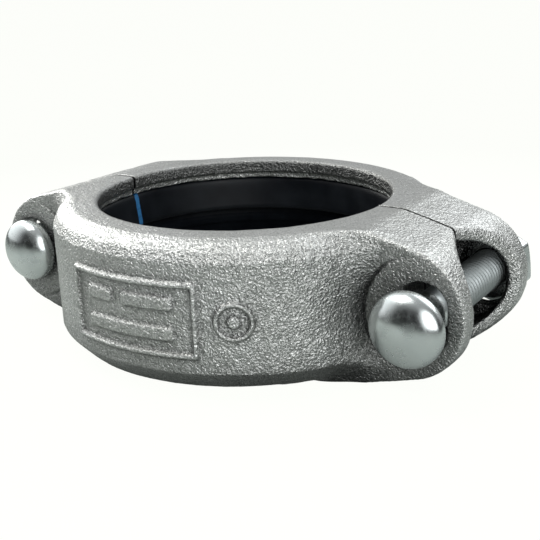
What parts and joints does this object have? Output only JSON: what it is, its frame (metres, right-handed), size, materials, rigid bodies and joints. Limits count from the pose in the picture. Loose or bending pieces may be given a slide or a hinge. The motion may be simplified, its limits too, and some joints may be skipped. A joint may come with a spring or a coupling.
{
  "type": "grooved pipe coupling",
  "caption": "Two-segment grooved pipe coupling: cast half rings with bolt pads, a C-section rubber gasket, and domed oval-neck bolts with hexagon nuts.",
  "frame": {"origin": "centre of the pipe bore at mid width", "axes": "+Z along the pipe, +X through the two bolt pads, +Y along the bolts from heads to nuts; rests on its lower side, -Z"},
  "size_m": [0.1798, 0.1298, 0.0478],
  "materials": {
    "housing": "hot-dip galvanised, rough as cast, light grey",
    "gasket_rubber": "satin black moulded rubber with one blue stripe",
    "zinc_plate": "bright zinc plate, smooth, slightly blue-green"
  },
  "bodies": {
    "rear_housing": {"rear_housing": "housing"},
    "front_housing": {"front_housing": "housing"},
    "gasket": {"gasket": "gasket_rubber"},
    "left_bolt": {"left_bolt": "zinc_plate"},
    "right_bolt": {"right_bolt": "zinc_plate"},
    "left_nut": {"left_nut": "zinc_plate"},
    "right_nut": {"right_nut": "zinc_plate"}
  },
  "joints": [
    {"name": "housing_opening", "type": "slide", "parent": "rear_housing", "child": "front_housing", "axis": [0, -1, 0], "range_m": [0, 0.00684]},
    {"name": "left_bolt_feed", "type": "slide", "parent": "rear_housing", "child": "left_bolt", "axis": [0, -1, 0], "range_m": [0, 0.00725]},
    {"name": "gasket_float", "type": "slide", "parent": "rear_housing", "child": "gasket", "axis": [0, -1, 0], "range_m": [0, 0.00363]},
    {"name": "left_nut_turn", "type": "hinge", "parent": "rear_housing", "child": "left_nut", "pos_m": [-0.0768, 0.0313, 0], "axis": [0, 1, 0], "range_deg": [0, 1336]},
    {"name": "right_bolt_feed", "type": "slide", "parent": "rear_housing", "child": "right_bolt", "axis": [0, -1, 0], "range_m": [0, 0.00586]},
    {"name": "right_nut_turn", "type": "hinge", "parent": "rear_housing", "child": "right_nut", "pos_m": [0.0768, 0.0313, 0], "axis": [0, 1, 0], "range_deg": [0, 1145]}
  ],
  "couplings": [
    {"joint": "left_bolt_feed", "follows": "housing_opening", "ratio": 1},
    {"joint": "gasket_float", "follows": "housing_opening", "ratio": 0.5},
    {"joint": "left_nut_turn", "follows": "housing_opening", "rad_per_m": 3215.8},
    {"joint": "right_nut_turn", "follows": "right_bolt_feed", "rad_per_m": 3215.8}
  ]
}
